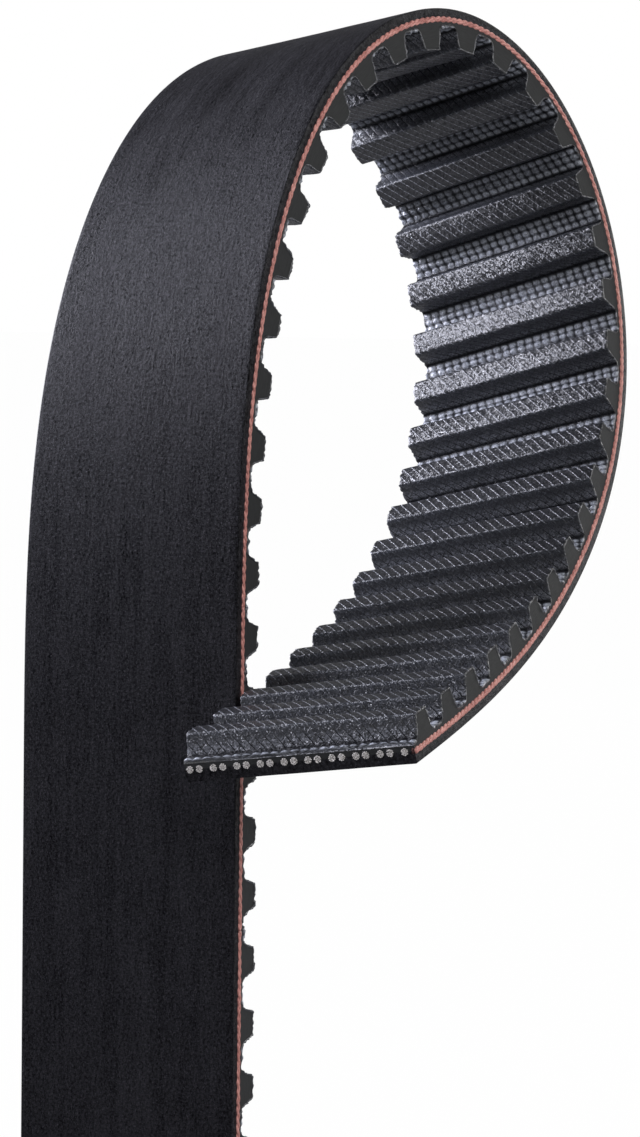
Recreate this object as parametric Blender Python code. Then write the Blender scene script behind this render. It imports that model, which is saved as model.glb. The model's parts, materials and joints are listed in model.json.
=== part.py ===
"""Curvilinear-tooth synchronous belt, 8 mm pitch and 30 mm wide, cut open and
coiled into one turn of a loose helix.

Frame: +Z runs up the straight strand, +X points from the strand's smooth back
towards its teeth, +Y lies across the belt width. The exposed edge cord is on
the -Y edge. The origin is the middle of the straight strand's back face.

From back to teeth the belt is backing rubber, a layer of tensile cords wound
in pairs, tooth rubber, and a nylon facing. It is divided in the middle of
seven lands, the flats between teeth, into eight rigid lengths.

Places in the belt are given by a station along it, a height above the cord
line (positive towards the teeth) and a place across the width. Stations are
in pitches, with tooth centres on whole numbers; other sizes are in mm.
"""
import math
from typing import NamedTuple

import bmesh
import bpy
from mathutils import Quaternion, Vector

MM = 0.001             # metres in a millimetre

# ---- layers -----------------------------------------------------------------
PITCH = 8.0            # tooth pitch measured along the cord line
WIDTH = 30.0           # belt width
HALF_WIDTH = WIDTH / 2
BACK = 1.5             # cord line to the smooth back
EDGE_CHAMFER = 0.18    # broken corners on the back edges
CORD_HALF = 0.56       # half thickness of the cord layer
WEB_TOP = 0.68         # cord line to the tooth rubber's land
LAYER_GAP = 0.03       # clearance between tooth rubber and facing
FACING_THICK = 0.25
FACING_IN = WEB_TOP + LAYER_GAP          # cord line to the facing's inner side at a land
FACING_OUT = FACING_IN + FACING_THICK    # cord line to the facing's outer side at a land

# half tooth outline, from root to crown: distance from the tooth centre, height
TOOTH = [
    (2.90, FACING_OUT), (2.38, 1.34), (2.08, 2.10),
    (1.82, 3.00), (1.50, 3.75), (0.90, 4.07),
]
HALF_TOOTH = TOOTH[0][0]                 # half length of a tooth at its root

# ---- cords ------------------------------------------------------------------
CORD_RADIUS = 0.48
CORD_SIDES = 6
CORD_FIRST = 14.33     # centre of the first cord, across from the belt's middle
CORD_PAIRS = 9         # pairs, followed by one single cord
PAIR_PITCH = 3.11      # pair to pair
PAIR_SPACE = 1.25      # between the two cords of a pair
EDGE_CORD_ACROSS = -14.83                # centre of the exposed cord on the -Y edge
EDGE_CORD_RADIUS = CORD_RADIUS * 0.94
PLY_EDGES = (-14.17, 14.85)              # -Y and +Y edges of the flat ply
LOBE_FLAT = CORD_RADIUS * 0.55           # half width of the flat on each lobe of the lobed ply
SKIM = 0.12            # half thickness of the lobed ply between its cords

# ---- the belt's run ---------------------------------------------------------
# station, bend towards the teeth in degrees per pitch
BEND = [
    (5.5, 0.0), (10.5, 4.75), (14.5, 7.5), (18.5, 14.0), (20.5, 17.75),
    (22.5, 17.25), (26.5, 10.0), (31.5, 4.5), (39.5, 0.25),
]
# station, twist about the belt's length in degrees per pitch
TWIST = [(5.5, 0.0), (10.5, -1.5), (18.5, -1.9), (26.5, -1.5), (39.5, -0.1)]
BEND_START = BEND[0][0]                  # the belt is straight below this station
ORIGIN_STATION = 2.0                     # station level with the origin
STEPS_PER_PITCH = 48                     # integration steps of the centre curve


class Cut(NamedTuple):
    """A place where the belt is cut. A land that flexes has the angles, in
    degrees, by which it opens and closes from rest; a square cut has none."""
    station: float
    opening: float | None = None
    closing: float | None = None


LOWER_END = Cut(-1.5)
FREE_END = Cut(39.46)
FLEXING_LANDS = [
    Cut(5.5, 1.7, 0.2),
    Cut(9.5, 11.1, 1.0),
    Cut(13.5, 17.0, 1.5),
    Cut(17.5, 32.0, 0.0),
    Cut(21.5, 44.0, 0.0),
    Cut(25.5, 32.0, 0.0),
    Cut(30.5, 20.0, 2.0),
]
END_GAP = 0.06         # half the clearance at a flexing land's cord line
SPARE_ANGLE = 0.5      # degrees added to each end face's slope

# base colour, roughness
FINISHES = {
    "backing": ((0.018, 0.020, 0.024), 0.62),
    "tooth_rubber": ((0.035, 0.040, 0.040), 0.75),
    "facing": ((0.060, 0.085, 0.110), 0.55),
    "cord": ((0.42, 0.38, 0.33), 0.6),
    "edge_cord": ((0.42, 0.12, 0.06), 0.55),
}


# ---- scene and materials ----------------------------------------------------
def clear_scene():
    for ob in list(bpy.data.objects):
        bpy.data.objects.remove(ob, do_unlink=True)


def make_collection(name):
    collection = bpy.data.collections.new(name)
    bpy.context.scene.collection.children.link(collection)
    return collection


def make_material(name, colour, roughness):
    mat = bpy.data.materials.new(name)
    mat.use_nodes = True
    shader = mat.node_tree.nodes["Principled BSDF"]
    shader.inputs["Base Color"].default_value = (*colour, 1.0)
    shader.inputs["Roughness"].default_value = roughness
    mat.diffuse_color = (*colour, 1.0)
    return mat


clear_scene()
BELT = make_collection("timing_belt")
MATERIALS = {
    name: make_material(name, colour=colour, roughness=roughness)
    for name, (colour, roughness) in FINISHES.items()
}


# ---- centre curve -----------------------------------------------------------
class Frame(NamedTuple):
    """A point on the cord line, with unit vectors along the belt, towards the
    teeth and across the width."""
    point: Vector
    along: Vector
    up: Vector
    across: Vector

    def at(self, along, height, across):
        return self.point + self.along * along + self.up * height + self.across * across


def interpolate(table, station):
    """The table's value at a station, held constant beyond both ends."""
    if station <= table[0][0]:
        return table[0][1]
    for (x0, y0), (x1, y1) in zip(table, table[1:]):
        if station <= x1:
            return y0 + (y1 - y0) * (station - x0) / (x1 - x0)
    return table[-1][1]


def walk_curve():
    """Frames every 1/STEPS_PER_PITCH pitch, from the start of the bend to
    just past the free end."""
    step = 1.0 / STEPS_PER_PITCH
    point = Vector((BACK, 0.0, (BEND_START - ORIGIN_STATION) * PITCH))
    along, up, across = Vector((0, 0, 1)), Vector((1, 0, 0)), Vector((0, 1, 0))
    frames = [Frame(point, along, up, across)]
    for i in range(math.ceil((FREE_END.station - BEND_START) * STEPS_PER_PITCH)):
        middle = BEND_START + (i + 0.5) * step
        turn = (across * math.radians(interpolate(BEND, middle) * step)
                + along * math.radians(interpolate(TWIST, middle) * step))
        rotation = Quaternion(turn.normalized(), turn.length)
        turned = (rotation @ along).normalized()
        point = point + (along + turned).normalized() * (PITCH * step)
        along = turned
        # square the frame up again after each turn
        across = along.cross(rotation @ up).normalized()
        up = across.cross(along)
        frames.append(Frame(point, along, up, across))
    return frames


CURVE = walk_curve()


def frame_at(station):
    """The frame at a station, straight below the bend and interpolated above."""
    if station <= BEND_START:
        first = CURVE[0]
        distance = (station - BEND_START) * PITCH
        return first._replace(point=first.point + first.along * distance)
    steps = (station - BEND_START) * STEPS_PER_PITCH
    i = min(int(steps), len(CURVE) - 2)
    part = steps - i
    before, after = CURVE[i], CURVE[i + 1]
    along = before.along.lerp(after.along, part).normalized()
    across = before.across.lerp(after.across, part).normalized()
    up = across.cross(along).normalized()
    return Frame(before.point.lerp(after.point, part), along, up, along.cross(up))


# ---- tooth outlines ---------------------------------------------------------
def inset(outline, depth):
    """The half outline moved inwards, along each corner's mean normal."""
    land = (outline[0][0] + 1.0, outline[0][1])
    far_crown = (-outline[-1][0], outline[-1][1])
    chain = [land, *outline, far_crown]
    moved = []
    for before, corner, after in zip(chain, chain[1:], chain[2:]):
        normal_x = normal_h = 0.0
        for (x0, h0), (x1, h1) in ((before, corner), (corner, after)):
            side = math.hypot(x1 - x0, h1 - h0)
            normal_x += (h1 - h0) / side
            normal_h += (x0 - x1) / side
        scale = depth / math.hypot(normal_x, normal_h)
        moved.append((corner[0] - normal_x * scale, corner[1] - normal_h * scale))
    return moved


def both_sides(half):
    """The whole outline, along the belt, of a half outline."""
    return [(-x, h) for x, h in half] + [(x, h) for x, h in reversed(half)]


# ---- cross-sections: (across, height) points --------------------------------
def columns(count):
    """Places across the width, from the -Y edge to the +Y edge."""
    return [-HALF_WIDTH + WIDTH * i / count for i in range(count + 1)]


def cord_positions():
    """Centres across the width of the embedded cords: the pairs and a single."""
    centres = []
    for pair in range(CORD_PAIRS):
        first = CORD_FIRST - PAIR_PITCH * pair
        centres += [first, first - PAIR_SPACE]
    return centres + [CORD_FIRST - PAIR_PITCH * CORD_PAIRS]


def cord_section(centre, radius):
    """A regular polygon with a side's middle on the +Y side."""
    angles = [math.pi * (2 * i + 1) / CORD_SIDES for i in range(CORD_SIDES)]
    return [(centre + radius * math.cos(a), radius * math.sin(a)) for a in angles]


def backing_section(column_count):
    """A slab with its two back corners chamfered."""
    places = columns(column_count)
    chamfered = [-HALF_WIDTH + EDGE_CHAMFER, *places[1:-1], HALF_WIDTH - EDGE_CHAMFER]
    return [
        (-HALF_WIDTH, -BACK + EDGE_CHAMFER),
        *[(across, -BACK) for across in chamfered],
        (HALF_WIDTH, -BACK + EDGE_CHAMFER),
        *[(across, -CORD_HALF) for across in reversed(places)],
    ]


def flat_ply_section():
    low, high = PLY_EDGES
    return [(low, -CORD_RADIUS), (high, -CORD_RADIUS), (high, CORD_RADIUS), (low, CORD_RADIUS)]


def lobed_ply_section():
    """The cords' outline, joined by a thin skim of rubber."""
    top = []
    for centre in sorted(cord_positions()):
        top += [
            (centre - CORD_RADIUS, SKIM),
            (centre - LOBE_FLAT, CORD_RADIUS),
            (centre + LOBE_FLAT, CORD_RADIUS),
            (centre + CORD_RADIUS, SKIM),
        ]
    return [(across, -height) for across, height in top] + top[::-1]


# ---- lofting ----------------------------------------------------------------
def loft(name, rings, across, material):
    """One closed body through rings of matching points. across is each ring
    point's place over the width. Every panel is split from its -Y corner on
    the lower ring to its +Y corner on the upper one, so that the faces of all
    layers stay parallel where the belt twists."""
    bm = bmesh.new()
    rows = [[bm.verts.new(point * MM) for point in ring] for ring in rings]
    count = len(across)
    for lower, upper in zip(rows, rows[1:]):
        for i in range(count):
            j = (i + 1) % count
            if across[j] >= across[i]:
                bm.faces.new((lower[i], lower[j], upper[j]))
                bm.faces.new((lower[i], upper[j], upper[i]))
            else:
                bm.faces.new((lower[i], lower[j], upper[i]))
                bm.faces.new((lower[j], upper[j], upper[i]))
    ends = [bm.faces.new(rows[0][::-1]), bm.faces.new(rows[-1])]
    bmesh.ops.triangulate(bm, faces=ends)
    bmesh.ops.recalc_face_normals(bm, faces=bm.faces[:])
    mesh = bpy.data.meshes.new(name)
    bm.to_mesh(mesh)
    bm.free()
    mesh.materials.append(MATERIALS[material])
    BELT.objects.link(bpy.data.objects.new(name, mesh))


def relief(cut, height):
    """How far an end face stands back from its cut. The back clears for the
    land opening and the tooth side for it closing."""
    if cut.opening is None:
        return 0.0
    angle = cut.opening if height < 0 else cut.closing
    return END_GAP + abs(height) * math.tan(math.radians(angle / 2 + SPARE_ANGLE))


def end_ring(cut, section, inward):
    """The ring at a cut; inward is 1 at a length's lower end, -1 at its upper."""
    frame = frame_at(cut.station)
    return [frame.at(inward * relief(cut, height), height, across)
            for across, height in section]


def tooth_frames(lower, upper):
    """Frames at the centres of the teeth between two cuts."""
    stop = math.ceil(upper.station - HALF_TOOTH / PITCH)
    return [frame_at(tooth) for tooth in range(math.ceil(lower.station), stop)]


def sweep(name, lower, upper, section, material):
    """A body of one cross-section between two cuts. Where the belt bends it
    has a ring at each tooth's two roots."""
    rings = [end_ring(lower, section, 1)]
    if upper.station > BEND_START:
        for frame in tooth_frames(lower, upper):
            for along in (-HALF_TOOTH, HALF_TOOTH):
                rings.append([frame.at(along, height, across) for across, height in section])
    rings.append(end_ring(upper, section, -1))
    loft(name, rings, [across for across, height in section], material)


def toothed(name, lower, upper, column_count, inner, outer, land, material):
    """A layer following the teeth between two cuts. inner and outer are its
    half outlines over a tooth, and land its inner and outer heights between."""
    out = columns(column_count)
    back = out[::-1]
    land_section = [(across, land[0]) for across in out] + [(across, land[1]) for across in back]
    rings = [end_ring(lower, land_section, 1)]
    for frame in tooth_frames(lower, upper):
        for inside, outside in zip(both_sides(inner), both_sides(outer)):
            rings.append([frame.at(*inside, across) for across in out]
                         + [frame.at(*outside, across) for across in back])
    rings.append(end_ring(upper, land_section, -1))
    loft(name, rings, out + back, material)


# ---- pieces -----------------------------------------------------------------
def build_backing(tag, lower, upper, column_count):
    sweep(f"backing_rubber_{tag}", lower, upper, backing_section(column_count), "backing")


def build_tooth_rubber(tag, lower, upper, column_count):
    outer = inset(TOOTH, FACING_THICK + LAYER_GAP)
    inner = [(x, CORD_HALF) for x, height in outer]
    toothed(f"tooth_rubber_{tag}", lower, upper, column_count, inner, outer,
            land=(CORD_HALF, WEB_TOP), material="tooth_rubber")


def build_facing(tag, lower, upper, column_count):
    toothed(f"nylon_facing_{tag}", lower, upper, column_count,
            inset(TOOTH, FACING_THICK), TOOTH,
            land=(FACING_IN, FACING_OUT), material="facing")


def build_ply(tag, lower, upper, section):
    sweep(f"cord_ply_{tag}", lower, upper, section, "cord")


def build_tensile_cords(lower, upper):
    for number, centre in enumerate(cord_positions(), start=1):
        section = cord_section(centre, CORD_RADIUS)
        sweep(f"tensile_cord_{number:02d}", lower, upper, section, "cord")


def build_edge_cord(tag, lower, upper):
    section = cord_section(EDGE_CORD_ACROSS, EDGE_CORD_RADIUS)
    sweep(f"edge_cord_{tag}", lower, upper, section, "edge_cord")


def build_belt():
    """Every length of belt. The cord layer is a lobed ply in the first length,
    separate cords in the last and a flat ply in those between."""
    cuts = [LOWER_END, *FLEXING_LANDS, FREE_END]
    for tag, (lower, upper) in enumerate(zip(cuts, cuts[1:])):
        is_last = upper is FREE_END
        column_count = 2 if is_last else 1
        build_backing(tag, lower, upper, column_count)
        build_tooth_rubber(tag, lower, upper, column_count)
        build_facing(tag, lower, upper, column_count)
        if is_last:
            build_tensile_cords(lower, upper)
        else:
            build_ply(tag, lower, upper, lobed_ply_section() if tag == 0 else flat_ply_section())
        build_edge_cord(tag, lower, upper)


build_belt()
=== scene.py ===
"""A toothed timing belt, cut at one end: nylon facing over rubber teeth, a rubber
back, paired cords inside and a red cord along one sliced edge.

The belt starts upright along +Z with its back on the plane x = 0, its teeth
towards +X and its width along Y, then curls over towards its teeth. Belt places
are given as a station (in tooth pitches along the belt, whole numbers at tooth
centres), a height from the cord line towards the teeth, and a distance across
from the middle, both in mm. Heights on the back are negative.
"""
import bpy
import json
import math
import numpy as np
from mathutils import Matrix, Quaternion, Vector


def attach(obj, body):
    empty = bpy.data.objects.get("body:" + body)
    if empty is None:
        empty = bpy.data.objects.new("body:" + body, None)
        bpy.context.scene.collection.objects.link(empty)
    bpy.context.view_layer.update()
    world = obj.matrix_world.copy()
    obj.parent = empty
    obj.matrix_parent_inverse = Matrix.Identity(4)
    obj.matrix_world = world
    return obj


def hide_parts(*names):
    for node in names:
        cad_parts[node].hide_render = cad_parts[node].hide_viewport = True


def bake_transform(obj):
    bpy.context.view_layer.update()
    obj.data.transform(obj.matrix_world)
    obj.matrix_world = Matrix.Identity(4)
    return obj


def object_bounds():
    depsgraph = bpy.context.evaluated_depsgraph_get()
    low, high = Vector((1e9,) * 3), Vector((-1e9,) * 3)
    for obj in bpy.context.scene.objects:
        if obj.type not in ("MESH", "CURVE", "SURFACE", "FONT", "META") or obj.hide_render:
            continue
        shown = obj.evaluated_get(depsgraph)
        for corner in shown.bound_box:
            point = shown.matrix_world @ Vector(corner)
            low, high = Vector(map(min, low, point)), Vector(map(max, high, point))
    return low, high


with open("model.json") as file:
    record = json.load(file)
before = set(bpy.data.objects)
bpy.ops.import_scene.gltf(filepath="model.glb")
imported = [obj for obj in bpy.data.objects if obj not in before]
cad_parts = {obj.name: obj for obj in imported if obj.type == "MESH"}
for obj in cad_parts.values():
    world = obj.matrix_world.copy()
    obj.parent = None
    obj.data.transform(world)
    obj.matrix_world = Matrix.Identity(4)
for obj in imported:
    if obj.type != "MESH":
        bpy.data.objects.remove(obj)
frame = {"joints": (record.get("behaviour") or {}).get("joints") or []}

CAD_BOX = [list(map(float, p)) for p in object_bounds()]

MM = 0.001
TAU = 2 * math.pi

# belt section, mm
PITCH, WIDTH = 8.0, 30.0
HALF_WIDTH = WIDTH / 2
BACK = 1.5                 # cord line to back surface
LAND_HEIGHT = 0.96         # cord line to the land between teeth
FACING_THICKNESS = 0.26
RIB, LEAN = 1.30, 0.88     # the cloth's diagonal: spacing across, and its slant

# stations along the belt, in pitches
START, CUT = -1.5, 39.46
ORIGIN = 2.0               # the station at z = 0
HINGES = [5.5, 9.5, 13.5, 17.5, 21.5, 25.5, 30.5]
# station, and turn there in degrees per pitch
BEND = np.array([(5.5, 0.0), (10.5, 4.75), (14.5, 7.5), (18.5, 14.0), (20.5, 17.75),
                 (22.5, 17.25), (26.5, 10.0), (31.5, 4.5), (39.5, 0.25)])
TWIST = np.array([(5.5, 0.0), (10.5, -1.5), (18.5, -1.9), (26.5, -1.5), (39.5, -0.1)])

BODIES = ["lower_strand", "strand_top", "shoulder", "crown_rise", "crown",
          "crown_fall", "return_run", "cut_end"]
# a station within each body, always in the middle of a land
MIDS = [2.5, 7.5, 11.5, 15.5, 19.5, 23.5, 28.5, 34.5]
SPANS = [START] + MIDS + [CUT]
LAST_PART = len(SPANS) - 2


# ---- the belt's centre curve ------------------------------------------------
def walk_curve(steps_per_pitch=48):
    """Rows of station, cord-line point, and unit vectors along the belt,
    towards the teeth and across."""
    def straight_point(station):
        return Vector((BACK, 0.0, (station - ORIGIN) * PITCH))

    station = BEND[0][0]
    point = straight_point(station)
    along, teeth, across = Vector((0, 0, 1)), Vector((1, 0, 0)), Vector((0, 1, 0))
    rows = [(START - 1.0, *straight_point(START - 1.0), *along, *teeth, *across),
            (station, *point, *along, *teeth, *across)]
    step = 1.0 / steps_per_pitch
    while station < CUT + 1.0:
        middle = station + step / 2
        bend = float(np.interp(middle, *BEND.T))
        twist = float(np.interp(middle, *TWIST.T))
        turn = across * math.radians(bend * step) + along * math.radians(twist * step)
        rotation = Quaternion(turn.normalized(), turn.length)
        new_along = (rotation @ along).normalized()
        point = point + (along + new_along).normalized() * (PITCH * step)
        teeth = rotation @ teeth
        along = new_along
        across = along.cross(teeth).normalized()
        teeth = across.cross(along)
        station += step
        rows.append((station, *point, *along, *teeth, *across))
    return np.array(rows)


CURVE = walk_curve()


def frames_at(station):
    """Cord-line point and unit vectors along, towards the teeth and across."""
    found = []
    for first in (1, 4, 7, 10):
        vector = np.stack([np.interp(station, CURVE[:, 0], CURVE[:, first + i])
                           for i in range(3)], -1)
        if first > 1:
            vector = vector / np.linalg.norm(vector, axis=-1, keepdims=True)
        found.append(vector)
    return found


def place(station, height, across, rigid=None):
    """Points in metres. rigid, from 0 to 1, holds a point to its own tooth's
    frame in place of the local one, because a tooth block doesn't bend."""
    station, height, across = np.broadcast_arrays(
        *(np.asarray(value, float) for value in (station, height, across)))

    def in_frame(at):
        point, along, teeth, sideways = frames_at(at)
        offset = ((station - at) * PITCH)[..., None]
        return (point + along * offset
                + teeth * height[..., None] + sideways * across[..., None])

    points = in_frame(station)
    if rigid is not None:
        held = in_frame(np.round(station))
        share = np.broadcast_to(rigid, station.shape)[..., None]
        points = points * (1 - share) + held * share
    return points * MM


# the frame's own joints must lie on this curve
for joint, hinge in zip(sorted(frame["joints"], key=lambda j: j["name"]), HINGES):
    gap = np.linalg.norm(place(hinge, 0.0, 0.0) - np.array(joint["pos_m"], float))
    assert gap < 2e-4, (joint["name"], gap)


# ---- tooth outline ----------------------------------------------------------
# half a tooth, from mid land to the tooth centre: distance from the centre, height
HALF_TOOTH = np.array([
    (PITCH / 2, LAND_HEIGHT), (3.4, LAND_HEIGHT), (2.98, LAND_HEIGHT), (2.66, 1.06),
    (2.40, 1.34), (2.20, 1.75), (2.04, 2.30), (1.88, 2.85), (1.72, 3.38), (1.60, 3.76),
    (1.52, 3.93), (1.38, 4.00), (1.10, 4.03), (0.6, 4.05), (0.0, 4.06)])


def smooth_line(points, rounds=2):
    """Cut the corners of a line, keeping its two ends."""
    for _ in range(rounds):
        cut = np.empty((len(points) * 2 - 2, 2))
        cut[0::2] = points[:-1] * 0.75 + points[1:] * 0.25
        cut[1::2] = points[:-1] * 0.25 + points[1:] * 0.75
        points = np.vstack([points[:1], cut, points[-1:]])
    return points


smooth_half = smooth_line(HALF_TOOTH)
OUTLINE = np.vstack([smooth_half * np.array([-1, 1]), smooth_half[::-1][1:]])
OUTLINE_ARC = np.concatenate([[0], np.cumsum(np.hypot(*np.diff(OUTLINE, axis=0).T))])
PITCH_ARC = OUTLINE_ARC[-1]            # facing length per pitch, mm


def tooth_rows(start, end, count):
    """Rows that follow the teeth, count to a pitch: arrays of station, height,
    arc length, and the outward normal's parts along and in height."""
    arc = np.linspace(0, PITCH_ARC, count + 1)
    offset = np.interp(arc, OUTLINE_ARC, OUTLINE[:, 0])
    height = np.interp(arc, OUTLINE_ARC, OUTLINE[:, 1])
    run, rise = np.gradient(offset), np.gradient(height)
    length = np.hypot(run, rise)
    blocks = []
    for tooth in range(math.floor(start + 0.5), math.ceil(end + 0.5)):
        station = tooth + offset / PITCH
        keep = (station > start - 1e-6) & (station < end - 1e-6)
        keep[-1] = False               # the next tooth begins with this row
        block = np.stack([station, height, arc + tooth * PITCH_ARC,
                          -rise / length, run / length])
        blocks.append(block[:, keep])
    # the closing row, exactly on the end
    tooth = math.floor(end + 0.5)
    end_offset = (end - tooth) * PITCH
    closing = [end, np.interp(end_offset, offset, height),
               np.interp(end_offset, offset, arc) + tooth * PITCH_ARC, 0.0, 1.0]
    return np.column_stack(blocks + [closing])


def even_rows(start, end, per_pitch):
    count = max(2, int(round((end - start) * per_pitch)) + 1)
    return np.linspace(start, end, count)


def smoothstep(low, high, value):
    share = np.clip((value - low) / (high - low), 0, 1)
    return share * share * (3 - 2 * share)


def rigid_share(height):
    """How firmly a point is held to its tooth: none on the land, all near the tip."""
    return smoothstep(LAND_HEIGHT, 3.2, height)


def value_noise(x, y, seed):
    """Smooth, repeatable noise from -0.5 to 0.5 on a unit lattice."""
    x, y = np.asarray(x, float), np.asarray(y, float)
    cell_x, cell_y = np.floor(x).astype(np.int64), np.floor(y).astype(np.int64)
    x, y = x - cell_x, y - cell_y
    x, y = x * x * (3 - 2 * x), y * y * (3 - 2 * y)

    def corner(i, j):
        mixed = (i * 374761393 + j * 668265263 + seed * 974711) & 0x7FFFFFFF
        mixed = ((mixed ^ (mixed >> 13)) * 1274126177) & 0x7FFFFFFF
        return ((mixed ^ (mixed >> 16)) & 0xFFFF) / 65535.0

    near = corner(cell_x, cell_y) * (1 - x) + corner(cell_x + 1, cell_y) * x
    far = corner(cell_x, cell_y + 1) * (1 - x) + corner(cell_x + 1, cell_y + 1) * x
    return near * (1 - y) + far * y - 0.5


# ---- mesh and body helpers --------------------------------------------------
def mesh_object(name, points, faces, material, attributes):
    """faces is a list of index arrays, each with one face to a row."""
    mesh = bpy.data.meshes.new(name)
    loops = np.concatenate([block.reshape(-1) for block in faces]).astype(np.int32)
    sizes = np.concatenate([np.full(len(block), block.shape[1], np.int32) for block in faces])
    starts = np.concatenate([[0], np.cumsum(sizes)[:-1]]).astype(np.int32)
    mesh.vertices.add(points.size // 3)
    mesh.vertices.foreach_set("co", points.astype(np.float32).reshape(-1))
    mesh.loops.add(len(loops))
    mesh.loops.foreach_set("vertex_index", loops)
    mesh.polygons.add(len(sizes))
    mesh.polygons.foreach_set("loop_start", starts)
    mesh.polygons.foreach_set("loop_total", sizes)
    mesh.polygons.foreach_set("use_smooth", np.full(len(sizes), True))
    for key, values in attributes.items():
        is_vector = values.size == points.size
        kind, field = ("FLOAT_VECTOR", "vector") if is_vector else ("FLOAT", "value")
        attribute = mesh.attributes.new(key, kind, "POINT")
        attribute.data.foreach_set(field, values.astype(np.float32).reshape(-1))
    mesh.update(calc_edges=True)
    mesh.validate()
    ob = bpy.data.objects.new(name, mesh)
    bpy.context.scene.collection.objects.link(ob)
    mesh.materials.append(material)
    return ob


def ring_faces(rows, ring):
    """Quads between successive rings of points."""
    i, j = np.meshgrid(np.arange(rows - 1), np.arange(ring), indexing="ij")
    after = (j + 1) % ring
    return np.stack([i * ring + j, i * ring + after,
                     (i + 1) * ring + after, (i + 1) * ring + j], -1).reshape(-1, 4)


def tube_faces(rows, ring, first=0):
    """Rings closed by one flat face at each end, counted from vertex first."""
    end = np.arange(ring)[None, :]
    return [ring_faces(rows, ring) + first, end[:, ::-1] + first,
            end + (rows - 1) * ring + first]


def add_body(ob, part, nodes):
    """The first part rides on the first body, the last on the last; the others
    are only baked in place, attached to no body."""
    if part == 0:
        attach(ob, BODIES[0])
    elif part == LAST_PART:
        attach(ob, BODIES[-1])
    else:
        start, end = place([MIDS[part - 1], MIDS[part]], 0.0, 0.0)
        BODIES[part - 1]
        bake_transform(ob)
    if nodes:
        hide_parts(*nodes)


def nodes_for(part, stem):
    """CAD nodes a part stands for; the last part has none of its own."""
    return ["%s_%d" % (stem, part)] if part < LAST_PART else []


# ---- materials --------------------------------------------------------------
class Field:
    """A shader output; arithmetic on it adds Math nodes."""

    def __init__(self, shader, socket):
        self.shader, self.socket = shader, socket

    def math(self, operation, *others):
        inputs = dict(enumerate((self, *others)))
        return self.shader.node("ShaderNodeMath", inputs, operation=operation)

    def __add__(self, other):
        return self.math("ADD", other)

    def __sub__(self, other):
        return self.math("SUBTRACT", other)

    def __mul__(self, other):
        return self.math("MULTIPLY", other)

    def __pow__(self, other):
        return self.math("POWER", other)

    def max(self, other):
        return self.math("MAXIMUM", other)

    def cosine(self):
        return self.math("COSINE")

    def remap(self, span, to=(0.0, 1.0)):
        return self.shader.node("ShaderNodeMapRange", dict(enumerate((self, *span, *to))))

    def coat(self, amount, colour):
        """Lay a colour over this one."""
        return self.shader.mix(amount, self, colour)

    def split(self):
        return [Field(self.shader, socket) for socket in self.shader.node(
            "ShaderNodeSeparateXYZ", {0: self}).socket.node.outputs]


class Shader:
    """A material's node tree. squeeze multiplies a texture's coordinates."""

    def __init__(self, name):
        self.material = bpy.data.materials.new(name)
        self.material.use_nodes = True
        self.tree = self.material.node_tree
        self.bsdf = self.tree.nodes["Principled BSDF"]

    def feed(self, socket, value):
        if isinstance(value, Field):
            self.tree.links.new(value.socket, socket)
        elif socket.type == "RGBA":
            socket.default_value = (*value, 1.0)
        else:
            socket.default_value = value

    def node(self, kind, inputs=None, output=0, **settings):
        count = len(self.tree.nodes)
        node = self.tree.nodes.new(kind)
        node.location = (-200 * (count % 12) - 200, -160 * (count // 12))
        for key, value in settings.items():
            setattr(node, key, value)
        for key, value in (inputs or {}).items():
            self.feed(node.inputs[key], value)
        return Field(self, node.outputs[output])

    def attribute(self, name, output="Vector"):
        return self.node("ShaderNodeAttribute", output=output, attribute_name=name)

    def vector_math(self, operation, *values):
        return self.node("ShaderNodeVectorMath", dict(enumerate(values)), operation=operation)

    def noise(self, vector, scale=1.0, detail=2.0, roughness=0.5, squeeze=None):
        if squeeze:
            vector = self.vector_math("MULTIPLY", vector, squeeze)
        return self.node("ShaderNodeTexNoise", {"Vector": vector, "Scale": scale,
                         "Detail": detail, "Roughness": roughness}, output="Fac")

    def cells(self, vector, scale, squeeze):
        """A random colour for each Voronoi cell."""
        vector = self.vector_math("MULTIPLY", vector, squeeze)
        return self.node("ShaderNodeTexVoronoi", {"Vector": vector, "Scale": scale},
                         output="Color", feature="F1")

    def mix(self, amount, under, over):
        return self.node("ShaderNodeMix", {0: amount, 6: under, 7: over}, output=2,
                         data_type="RGBA")

    def bump(self, height, distance_mm, strength, normal=None):
        inputs = {"Strength": strength, "Distance": distance_mm * MM, "Height": height}
        if normal is not None:
            inputs["Normal"] = normal
        return self.node("ShaderNodeBump", inputs)

    def surface(self, colour, roughness, specular=None, normal=None):
        for name, value in (("Base Color", colour), ("Roughness", roughness),
                            ("Specular IOR Level", specular), ("Normal", normal)):
            if value is not None:
                self.feed(self.bsdf.inputs[name], value)
        return self.material


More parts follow.
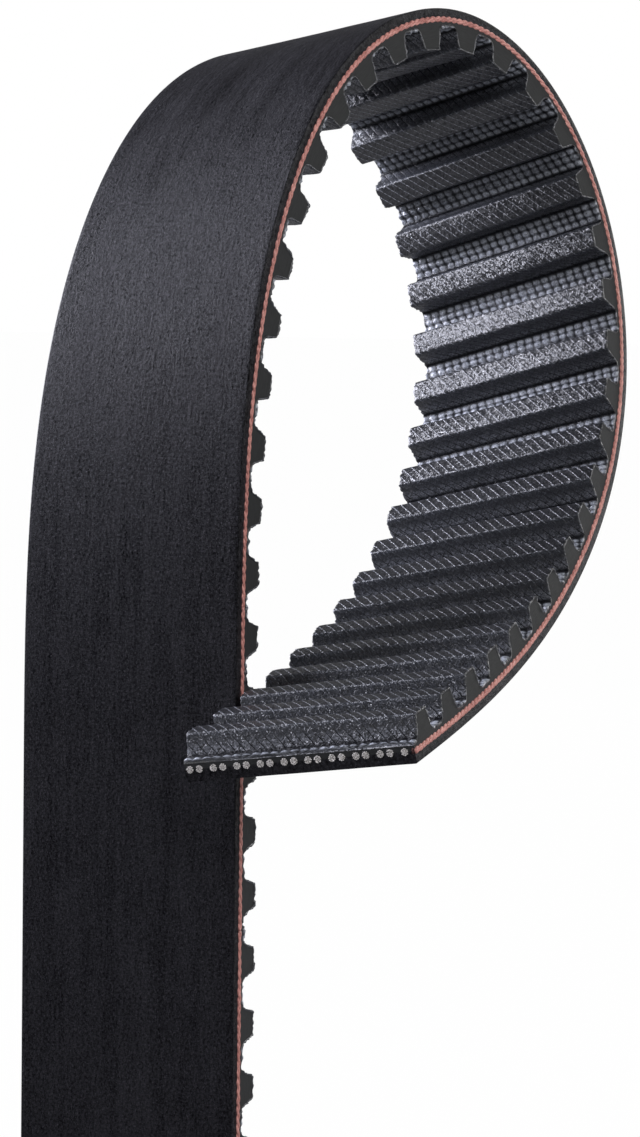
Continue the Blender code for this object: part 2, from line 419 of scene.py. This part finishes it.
def backing_material():
    shader = Shader("backing_rubber")
    belt = shader.attribute("belt")               # along, across, height in mm
    # ground grain of about 0.35 mm, short lengthwise fibres, streaks and clouds
    fine = shader.noise(belt, scale=2.7, detail=3.0, roughness=0.75)
    fibre = shader.noise(belt, detail=3.0, roughness=0.70, squeeze=(0.85, 3.4, 1.0))
    streak = shader.noise(belt, detail=4.0, roughness=0.60, squeeze=(0.030, 0.85, 1.0))
    cloud = shader.noise(belt, detail=3.0, roughness=0.55, squeeze=(0.10, 0.16, 0.1))
    # sparse pale and dark flecks
    pale = shader.noise(belt, scale=4.6, detail=1.0, squeeze=(0.8, 1.4, 1.0))
    pale = pale.remap((0.60, 0.72))
    dark = shader.noise(belt, scale=3.9, detail=1.0, squeeze=(1.0, 1.2, 1.0))
    dark = dark.remap((0.28, 0.38), to=(1.0, 0.0))
    # each pattern's share of the tone
    tone = (fine * 0.52 + fibre * 0.24) + (streak * 0.14 + cloud * 0.10)
    colour = shader.mix(tone.remap((0.38, 0.62)),
                        under=(0.0010, 0.0009, 0.0013), over=(0.0140, 0.0132, 0.0178))
    colour = colour.coat(pale * 0.60, colour=(0.046, 0.045, 0.056))
    colour = colour.coat(dark * 0.60, colour=(0.0015, 0.0014, 0.0018))
    roughness = (streak * 0.6 + cloud * 0.4).remap((0.38, 0.62), to=(0.42, 0.58))
    specular = tone.remap((0.38, 0.62), to=(0.03, 0.36))
    # grain, fibres and flecks in relief
    relief = (fine * 0.7 + fibre * 0.6) + (pale - dark) * 0.2
    return shader.surface(colour, roughness, specular,
                          shader.bump(relief, distance_mm=0.11, strength=0.9))


def rubber_material():
    shader = Shader("tooth_rubber")
    belt = shader.attribute("belt")
    fine = shader.noise(belt, scale=5.0, detail=4.0, roughness=0.6)
    saw = shader.noise(belt, squeeze=(0.6, 2.0, 7.0))      # marks on the sliced sides
    tone = fine * 0.5 + saw * 0.5
    colour = shader.mix(tone.remap((0.35, 0.65)),
                        under=(0.013, 0.0135, 0.014), over=(0.028, 0.029, 0.030))
    return shader.surface(colour, roughness=fine.remap((0.3, 0.7), to=(0.62, 0.82)),
                          specular=0.35,
                          normal=shader.bump(tone, distance_mm=0.05, strength=0.6))


YARN_TILT = 0.24            # largest lean of a yarn's normal, each way
DASH = 0.52                 # mm, spacing of the breaks along a bare thread


def facing_material():
    shader = Shader("nylon_facing")
    weave = shader.attribute("weave")             # arc length, across, height in mm
    arc, across, _ = weave.split()
    land, flank, tip = shader.attribute("zone").split()
    corner = shader.attribute("corner", "Fac")
    # the twill's two diagonals, wandering by up to 0.14 mm
    wander = (shader.noise(weave, scale=0.7) - 0.5) * 0.28
    twill = (across + arc * LEAN + wander) * (TAU / RIB)
    rib = twill.cosine().remap((0.930, 0.990))
    counter_twill = (across - arc * LEAN + wander) * (TAU / RIB)
    cross = counter_twill.cosine().remap((0.940, 0.992))
    # single yarns, each tilted its own way and catching the light
    tilt = shader.cells(weave, scale=5.4, squeeze=(1.0, 1.25, 1.0))
    pick = tilt.split()[0]
    grain = shader.noise(weave, scale=7.0, roughness=0.6)
    mottle = shader.noise(weave, scale=0.55, detail=3.0, roughness=0.6)
    coarse = shader.cells(weave, scale=4.2, squeeze=(1.0, 1.2, 1.0)).split()[1]
    # a few bright yarns over the grain
    tone = pick ** 3.0 * 0.55 + grain * 0.45
    base = shader.mix(tone.remap((0.20, 0.78)),
                      under=(0.0095, 0.0100, 0.0125), over=(0.125, 0.132, 0.158))
    base = base.coat(mottle.remap((0.36, 0.66), to=(0.35, 0.0)),
                     colour=(0.0135, 0.0140, 0.0170))
    # rubber shows through where the moulding stretched the cloth
    base = base.coat(tip * 0.74, colour=(0.0060, 0.0060, 0.0082))
    base = base.coat(land * 0.60, colour=(0.0080, 0.0085, 0.0110))
    # dull upper flanks, pale specks on the lower
    upper = flank * weave.split()[2].remap((2.2, 3.0))
    lower = flank - upper
    base = base.coat(upper * 0.42, colour=(0.019, 0.0205, 0.0265))
    speck = coarse.remap((0.35, 0.95))
    base = base.coat(lower * (speck * 0.80), colour=(0.235, 0.245, 0.280))
    # grooves down the flanks, crossed more faintly the other way
    cut = twill.cosine().remap((0.900, 0.975))
    groove = cut.max(cross * 0.6) * (flank - upper * 0.55).max(land * 0.2)
    base = base.coat(groove * 0.93, colour=(0.0045, 0.0045, 0.006))
    # pale threads laid bare over the tips
    dash = ((arc + wander * 2.0) * (TAU / DASH)).cosine().remap((-0.6, 0.2), to=(0.30, 1.0))
    bare = tip.max(corner * 0.8) * pick.remap((0.0, 0.5), to=(0.40, 1.0))
    thread = rib * dash * bare
    base = base.coat(thread * 0.95, colour=(0.46, 0.48, 0.54))
    # worn, fuzzy tip corners, lightened further as a painted highlight along the edges
    fuzz_and_edge_highlight = corner * coarse.remap((0.20, 0.80), to=(0.15, 1.0))
    base = base.coat(fuzz_and_edge_highlight * 0.22, colour=(0.17, 0.185, 0.220))
    # thick picks standing up along the lands, with a painted highlight on their tops and
    # painted shade between them
    bead = shader.attribute("bead", "Fac")
    bead_top_highlight = bead.remap((0.06, 0.50), to=(0.0, 0.92))
    base = base.coat(bead_top_highlight * coarse.remap((0.0, 0.8), to=(0.35, 1.0)),
                     colour=(0.52, 0.550, 0.625))
    # painted shade in the gaps between the picks on the lands
    base = base.coat(bead.remap((0.02, 0.20), to=(0.45, 0.0)) * land,
                     colour=(0.010, 0.0105, 0.013))
    # painted shade in the crease at the foot of each flank
    foot = shader.attribute("foot", "Fac")
    base = base.coat(foot * 0.90, colour=(0.0045, 0.0045, 0.0060))
    # grooves, feet, corners and lands shine less
    dull = groove.max(foot.max(corner * 0.6))
    dull = dull.max(land * bead.remap((0.02, 0.50), to=(0.75, 0.35)))
    # each yarn's own normal, then grain, threads and grooves in relief
    normal = shader.node("ShaderNodeNewGeometry", output="Normal")
    lean = shader.vector_math("MULTIPLY_ADD", tilt, (2 * YARN_TILT,) * 3, (-YARN_TILT,) * 3)
    normal = shader.vector_math("NORMALIZE", shader.vector_math("ADD", normal, lean))
    relief = grain * 0.25 + (thread - groove) * 0.8
    return shader.surface(base, roughness=grain.remap((0.3, 0.7), to=(0.27, 0.40)),
                          specular=dull.remap((0.0, 1.0), to=(1.0, 0.10)),
                          normal=shader.bump(relief, distance_mm=0.06, strength=0.7,
                                             normal=normal))


def cord_material(name, dark, light, roughness):
    shader = Shader(name)
    belt = shader.attribute("belt")
    fibre = shader.noise(belt, detail=3.0, roughness=0.6, squeeze=(2.0, 9.0, 9.0))
    patch = shader.noise(belt, squeeze=(0.5, 1.0, 1.0))
    tone = fibre * 0.65 + patch * 0.35
    return shader.surface(shader.mix(tone.remap((0.36, 0.64)), dark, light), roughness,
                          normal=shader.bump(fibre, distance_mm=0.05, strength=0.8))


BACKING, RUBBER, FACING = backing_material(), rubber_material(), facing_material()
CORD = cord_material("tensile_cord", dark=(0.55, 0.525, 0.505), light=(0.95, 0.91, 0.885),
                     roughness=0.6)
RED = cord_material("edge_cord", dark=(0.33, 0.095, 0.080), light=(0.83, 0.400, 0.350),
                    roughness=0.5)


# ---- facing cloth -----------------------------------------------------------
# mm
RIDGE_RISE, RIDGE_SPREAD = 0.26, 0.75     # low ridge in the middle of each land
BEAD_RISE = 0.26                          # stout picks on the lands
BEAD_ROW_GAP, BEAD_GAP = 0.98, 1.28       # their spacing along and across
EDGE_FADE = 0.22                          # reach of the effects at a sliced edge
CORNER_OFFSET, CORNER_SPREAD = 1.52, 0.15  # tip corner from the tooth centre
INNER_POINTS = 5                          # across the cloth's inner face


def bead_pattern(arc, across, land):
    """Stout picks in two or three rows along each land."""
    from_mid_land = arc - PITCH_ARC * np.round(arc / PITCH_ARC)
    row = 0.5 + 0.5 * np.cos(from_mid_land * TAU / BEAD_ROW_GAP)
    wander = 0.25 * value_noise(across / 3.0, arc / 2.0, seed=13)
    column = 0.5 + 0.5 * np.cos((across + 0.25 * arc + wander) * TAU / BEAD_GAP)
    bead = (np.clip(row, 0, 1) * np.clip(column, 0, 1)) ** 0.6 * land
    return bead * (0.65 + 0.7 * (value_noise(across / 1.3, arc / 1.1, seed=17) + 0.5))


def cloth_lift(station, arc, across, zones, bead, edge):
    """How far the cloth stands off the plain outline, mm."""
    land, flank, tip = zones
    # the twill: grooves on flanks and lands, ribs on the tips
    twill = np.clip(np.cos((across + LEAN * arc) * TAU / RIB), 0, 1) ** 3
    lift = (-0.05 * np.maximum(flank, land) + 0.03 * tip) * twill
    # broad and fine unevenness
    lift = lift + 0.06 * value_noise(across / 4.0, arc / 2.5, seed=3)
    lift = lift + 0.022 * value_noise(across / 0.5, arc / 0.45, seed=5)
    lift = lift + BEAD_RISE * bead
    from_mid_land = np.abs((station - np.floor(station)) - 0.5) * PITCH
    ridge = RIDGE_RISE * np.exp(-(from_mid_land / RIDGE_SPREAD) ** 2)
    lift = lift + ridge * (0.8 + 0.8 * value_noise(across / 1.6, 0.0, seed=11)) * land
    # pulled in a little at the sliced edges, unevenly
    return lift - 0.04 * edge + 0.16 * edge * value_noise(arc / 0.33, np.sign(across), seed=8)


def cloth_ends(rows, ring, top):
    """Triangles closing both ends, between the outer row of top points and the
    few inner ones."""
    bottom = ring - top
    per_inner = (top - 1) / (bottom - 1)
    ends = []
    for first, winding in ((0, 1), ((rows - 1) * ring, -1)):
        triangles = []
        for j in range(bottom - 1):
            left, right = int(round(j * per_inner)), int(round((j + 1) * per_inner))
            inner_left = first + ring - 1 - j
            inner_right = inner_left - 1
            middle = (left + right) // 2
            for i in range(left, right):
                triangles.append((first + i, first + i + 1,
                                  inner_left if i < middle else inner_right))
            triangles.append((first + middle, inner_right, inner_left))
        ends.append(np.array(triangles)[:, ::winding])
    return ends


def build_facing(part, start, end):
    rows = tooth_rows(start, end, 62)
    columns = 173
    # every row as a column of one value per station
    station, height, arc, normal_along, normal_up = (row[:, None] for row in rows)
    outer = np.linspace(-HALF_WIDTH, HALF_WIDTH, columns)[None, :]
    inner = np.linspace(HALF_WIDTH, -HALF_WIDTH, INNER_POINTS)[None, :]
    side = np.sign(outer)

    flank = smoothstep(1.0, 1.45, height) * (1 - smoothstep(3.60, 3.90, height))
    tip = smoothstep(3.85, 4.00, height)
    land = 1 - smoothstep(1.02, 1.30, height)
    from_centre = np.abs(station - np.round(station)) * PITCH
    corner = np.exp(-((from_centre - CORNER_OFFSET) / CORNER_SPREAD) ** 2) * (height > 2.5)
    # the foot of each flank, where shade is painted in the root crease
    foot = smoothstep(1.00, 1.15, height) * (1 - smoothstep(1.35, 1.75, height))
    bead = bead_pattern(arc, outer, land)
    edge = np.exp(-(HALF_WIDTH - np.abs(outer)) / EDGE_FADE)

    lift = cloth_lift(station, arc, outer, (land, flank, tip), bead, edge)
    # short loose ends past the sliced edges
    fray = edge * (0.24 * value_noise(arc / 0.28, side * 3.0, seed=21)
                   + 0.20 * value_noise(arc / 0.9, side * 5.0, seed=23) + 0.03)
    rigid = rigid_share(height)
    points = np.concatenate([
        place(station + normal_along * lift / PITCH, height + normal_up * lift,
              outer + side * fray, rigid),
        place(station - normal_along * FACING_THICKNESS / PITCH,
              height - normal_up * FACING_THICKNESS, inner, rigid)], 1)

    def both_faces(on_outer, on_inner=0.0):
        count = len(station)
        return np.concatenate([np.broadcast_to(on_outer, (count, columns)),
                               np.broadcast_to(on_inner, (count, INNER_POINTS))], 1)

    attributes = {
        "weave": np.stack([both_faces(arc, arc), both_faces(outer, inner),
                           both_faces(height)], -1),
        "zone": np.stack([both_faces(land), both_faces(flank), both_faces(tip)], -1),
        "bead": both_faces(bead),
        "corner": both_faces(corner),
        "foot": both_faces(foot)}
    count, ring = points.shape[:2]
    faces = [ring_faces(count, ring)] + cloth_ends(count, ring, columns)
    ob = mesh_object("facing_cloth_%d" % part, points, faces, FACING, attributes)
    add_body(ob, part, nodes_for(part, "nylon_facing"))


# ---- rubber -----------------------------------------------------------------
def rubber_object(name, points, station, across, height, material):
    """A closed length of rubber, sharp wherever it turns by more than 40 degrees."""
    belt = np.stack([station * PITCH, across, height], -1)
    ob = mesh_object(name, points, tube_faces(*points.shape[:2]), material, {"belt": belt})
    ob.data.set_sharp_from_angle(angle=math.radians(40))
    return ob


def build_rubber(part, start, end):
    """The teeth under the cloth, down to the cord line."""
    station, height, _, normal_along, normal_up = tooth_rows(start, end, 40)
    depth = FACING_THICKNESS * 0.9        # a little overlap with the cloth
    top = np.array([-HALF_WIDTH + 0.02, -HALF_WIDTH + 0.06, -7, 0, 7,
                    HALF_WIDTH - 0.06, HALF_WIDTH - 0.02])
    rise = np.linspace(0, 1, 7)           # up the sliced side faces
    steps = len(rise) - 1
    # the ring: over the top, down one side, back along the cord line, up the other
    across = np.concatenate([top, np.full(steps, HALF_WIDTH),
                             top[-2:0:-1], np.full(steps, -HALF_WIDTH)])
    level = np.concatenate([np.ones(len(top)), rise[-2::-1],
                            np.zeros(len(top) - 2), rise[:-1]])
    station = station[:, None] - (normal_along * depth / PITCH)[:, None] * level
    rigid = rigid_share(height)[:, None] * level
    height = (height - normal_up * depth)[:, None] * level
    across = np.broadcast_to(across, station.shape)
    nick = 0.03 * value_noise(station * 9.0, height * 1.6, seed=31)
    nick = nick * (np.abs(across) > HALF_WIDTH - 0.01)
    points = place(station, height, across + np.sign(across) * (nick - 0.02), rigid)
    ob = rubber_object("tooth_block_%d" % part, points, station, across, height, RUBBER)
    add_body(ob, part, nodes_for(part, "tooth_rubber"))


def build_backing(part, start, end):
    """The rubber from the cord line out to the back, its back edges rounded."""
    radius = 0.16
    flat = HALF_WIDTH - radius
    arc = [(flat + radius * math.sin(angle), -BACK + radius - radius * math.cos(angle))
           for angle in np.linspace(0, math.pi / 2, 4)]
    # the ring: across, height
    ring = [(-x, y) for x, y in arc[:0:-1]]
    ring += [(x, -BACK) for x in np.linspace(-flat, flat, 61)]
    ring += arc[1:]
    ring += [(HALF_WIDTH, -0.7), (HALF_WIDTH, 0.0), (7, 0.0), (0, 0.0), (-7, 0.0),
             (-HALF_WIDTH, 0.0), (-HALF_WIDTH, -0.7)]
    ring_across, ring_height = np.array(ring).T
    station, across = np.meshgrid(even_rows(start, end, 10), ring_across,
                                  indexing="ij")
    height = np.broadcast_to(ring_height, station.shape)
    # a gently uneven back
    waves = (0.035 * value_noise(station * 1.1, across / 5.0, seed=41)
             + 0.012 * value_noise(station * 5, across / 1.1, seed=43))
    height = height + np.where(height < -BACK + 0.01, waves, 0.0)
    wobble = np.where(np.abs(across) > HALF_WIDTH - 0.001,
                      0.05 * value_noise(station * 3.0, height * 0.8, seed=47), 0.0)
    points = place(station, height, across + np.sign(across) * wobble)
    ob = rubber_object("belt_back_%d" % part, points, station, across, height, BACKING)
    add_body(ob, part, nodes_for(part, "backing_rubber"))


# ---- cords ------------------------------------------------------------------
# mm
CORD_RADIUS = 0.48
CORD_COUNT = 19
CORD_FIRST, PAIR_PITCH, PAIR_SPACE = 14.33, 3.11, 1.25
CORDS_ACROSS = [CORD_FIRST - PAIR_PITCH * (i // 2) - PAIR_SPACE * (i % 2)
                for i in range(CORD_COUNT)]
YARN_RADIUS = 0.098
YARN_TIP_RADII = (0.078, 0.03)
YARN_RINGS = [(0.0, 1), (0.205, 6), (0.375, 12)]   # ring radius, yarns in it
YARN_TWIST = 0.55          # radians per mm
YARN_LENGTH = 0.35         # pitches of separate yarns before the cut
EDGE_CORD_ACROSS = -14.83
EDGE_CORD_LAY = 3.4        # mm per turn
EDGE_STRANDS = 3


def tube(station, height, across, radius, sides):
    """Rings round a line, one per station: points, and their belt places."""
    def column(value):
        return np.broadcast_to(value, station.shape)[:, None]

    angle = np.linspace(0, TAU, sides, endpoint=False)[None, :]
    heights = column(height) + column(radius) * np.sin(angle)
    acrosses = column(across) + column(radius) * np.cos(angle)
    stations = np.broadcast_to(station[:, None], heights.shape)
    return (place(stations, heights, acrosses),
            np.stack([stations * PITCH, acrosses, heights], -1))


def tubes_object(name, tubes, material):
    faces, first = [], 0
    for points, _ in tubes:
        count, ring = points.shape[:2]
        faces += tube_faces(count, ring, first)
        first += count * ring
    points, belt = (np.concatenate([grid.reshape(-1, 3) for grid in grids])
                    for grids in zip(*tubes))
    return mesh_object(name, points, faces, material, {"belt": belt})


def whole_cord(station, across):
    return tube(station, 0.0, across, CORD_RADIUS, sides=10)


def build_cords(part, start, end):
    """Whole cords inside the belt, in pairs."""
    station = even_rows(start, end, 6)
    if part == LAST_PART:
        build_cut_cords(part, station, end)
        return
    ob = tubes_object("cord_run_%d" % part,
                      [whole_cord(station, across) for across in CORDS_ACROSS], CORD)
    add_body(ob, part, nodes_for(part, "cord_ply") if part < 7 else [])


def build_cut_cords(part, station, end):
    """The cut end: each cord on its own, its yarns showing, wound by turns
    one way and the other."""
    split = end - YARN_LENGTH
    whole = np.append(station[station < split], split)
    tail = np.linspace(split - 0.01, end, 5)
    for i, across in enumerate(CORDS_ACROSS):
        random = np.random.RandomState(100 + i)
        hand = 1 if i % 2 == 0 else -1
        tubes = [whole_cord(whole, across)]
        for ring_radius, count in YARN_RINGS:
            for j in range(count):
                beyond = random.uniform(0.02, 0.16) / PITCH
                yarn = np.append(tail, [end + beyond * 0.8, end + beyond])
                angle = (TAU * j / count + random.uniform(-0.15, 0.15)
                         + hand * (yarn - end) * PITCH * YARN_TWIST)
                reach = ring_radius * (1 + random.uniform(-0.06, 0.06))
                radius = np.full_like(yarn, YARN_RADIUS)
                radius[-2:] = YARN_TIP_RADII
                tubes.append(tube(yarn, reach * np.sin(angle),
                                  across + reach * np.cos(angle), radius, sides=7))
        ob = tubes_object("tensile_cord_vis_%02d" % (i + 1), tubes, CORD)
        add_body(ob, part, ["tensile_cord_%02d" % (i + 1)])


def build_edge_cord(part, start, end):
    """The cord laid open along the sliced edge: three twisted strands."""
    station = even_rows(start, end, 26)
    tubes = []
    for i in range(EDGE_STRANDS):
        angle = TAU * (i / EDGE_STRANDS) + station * PITCH * TAU / EDGE_CORD_LAY
        worn = 0.02 * value_noise(station * 5.0, i, seed=61)
        radius = 0.255 + 0.05 * value_noise(station * 9.0, i, seed=63)
        tubes.append(tube(station, (0.19 + worn) * np.sin(angle),
                          EDGE_CORD_ACROSS + (0.15 + worn) * np.cos(angle),
                          radius, sides=9))
    ob = tubes_object("edge_cord_run_%d" % part, tubes, RED)
    add_body(ob, part, nodes_for(part, "edge_cord"))


for part, (start, end) in enumerate(zip(SPANS, SPANS[1:])):
    build_facing(part, start, end)
    build_rubber(part, start, end)
    build_backing(part, start, end)
    build_cords(part, start, end)
    build_edge_cord(part, start, end)

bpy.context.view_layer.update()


# ---- floor and world --------------------------------------------------------
FLOOR_HALF = 6.0            # m
FLOOR_DROP = 0.0004         # m below the product
FLOOR_GLOW = 0.99           # share of plain white the camera sees
FILL = 0.13                 # world light on the belt; the camera sees 1.0
WHITE = (1.0, 1.0, 1.0)


def floor_material():
    """Grey to the light, clean white to the camera."""
    shader = Shader("studio_floor")
    material = shader.surface(colour=(0.30, 0.30, 0.30), roughness=0.9, specular=0.1)
    glow = shader.node("ShaderNodeEmission", {"Color": WHITE})
    seen = shader.node("ShaderNodeLightPath", output="Is Camera Ray")
    mixed = shader.node("ShaderNodeMixShader", {
        0: seen * FLOOR_GLOW, 1: Field(shader, shader.bsdf.outputs[0]), 2: glow})
    shader.feed(shader.tree.nodes["Material Output"].inputs[0], mixed)
    return material


def build_floor():
    z = CAD_BOX[0][2] - FLOOR_DROP
    mesh = bpy.data.meshes.new("studio_floor")
    corners = ((-1, -1), (1, -1), (1, 1), (-1, 1))
    mesh.from_pydata([(x * FLOOR_HALF, y * FLOOR_HALF, z) for x, y in corners],
                     [], [(0, 1, 2, 3)])
    floor = bpy.data.objects.new("studio_floor", mesh)
    mesh.materials.append(floor_material())
    bpy.context.scene.collection.objects.link(floor)


def build_world():
    """White to the camera, a soft fill to the belt."""
    world = bpy.data.worlds.new("studio")
    bpy.context.scene.world = world
    world.use_nodes = True
    tree = world.node_tree
    background = tree.nodes["Background"]
    background.inputs["Color"].default_value = (*WHITE, 1.0)
    ray = tree.nodes.new("ShaderNodeLightPath")
    level = tree.nodes.new("ShaderNodeMapRange")
    level.inputs["To Min"].default_value = FILL
    level.inputs["To Max"].default_value = 1.0
    tree.links.new(ray.outputs["Is Camera Ray"], level.inputs["Value"])
    tree.links.new(level.outputs[0], background.inputs["Strength"])


build_floor()
build_world()

# ---- camera and lamps -------------------------------------------------------
CAMERA_PLACE = Vector((-0.495491, -0.268956, 0.085966))
# the camera's own axes: its right, its up, and back towards the viewer
CAMERA_RIGHT = Vector((0.44062551, -0.89762001, 0.01129048))
CAMERA_UP = Vector((0.05456317, 0.03933383, 0.99773529))
CAMERA_BACK = Vector((-0.89603126, -0.43901158, 0.06630848))
COIL = Vector((0.030, -0.012, 0.075))     # where the lamps aim
BLUE = (0.86, 0.87, 1.0)


def build_camera():
    data = bpy.data.cameras.new("camera")
    data.sensor_fit = "AUTO"              # the sensor spans the image's long side
    data.sensor_width = 36.0
    data.lens = 144.456887
    data.clip_start, data.clip_end = 0.01, 50.0
    camera = bpy.data.objects.new("camera", data)
    turn = Matrix((CAMERA_RIGHT, CAMERA_UP, CAMERA_BACK)).transposed()
    camera.matrix_world = Matrix.Translation(CAMERA_PLACE) @ turn.to_4x4()
    bpy.context.scene.collection.objects.link(camera)
    bpy.context.scene.camera = camera


def add_lamp(name, direction, distance, size, power, colour=WHITE, spread=180):
    """A square lamp aimed at the coil. direction is (right, up, towards the
    camera) from the coil; spread is in degrees."""
    right, up, back = direction
    offset = CAMERA_RIGHT * right + CAMERA_UP * up + CAMERA_BACK * back
    data = bpy.data.lights.new(name, "AREA")
    data.shape = "RECTANGLE"
    data.size = data.size_y = size
    data.energy = power
    data.color = colour
    data.spread = math.radians(spread)
    lamp = bpy.data.objects.new(name, data)
    lamp.location = COIL + offset.normalized() * distance
    lamp.rotation_euler = (COIL - lamp.location).to_track_quat("-Z", "Y").to_euler()
    bpy.context.scene.collection.objects.link(lamp)


build_camera()
add_lamp("key", direction=(-1.0, 0.55, 0.15), distance=0.36, size=0.17, power=0.27,
         colour=BLUE, spread=80)
add_lamp("left_rim", direction=(-1.0, 0.30, -0.60), distance=0.45, size=0.22, power=1.05,
         colour=BLUE, spread=110)
add_lamp("right", direction=(1.0, 0.40, 0.22), distance=0.70, size=0.35, power=2.3)
add_lamp("front", direction=(0.25, 0.45, 1.0), distance=0.60, size=0.25, power=0.95)
add_lamp("rear", direction=(0.5, 0.35, -1.0), distance=0.60, size=0.40, power=2.0)

view = bpy.context.scene.view_settings
view.view_transform = "Standard"
view.look = "None"
view.exposure = 0.0
view.gamma = 1.0
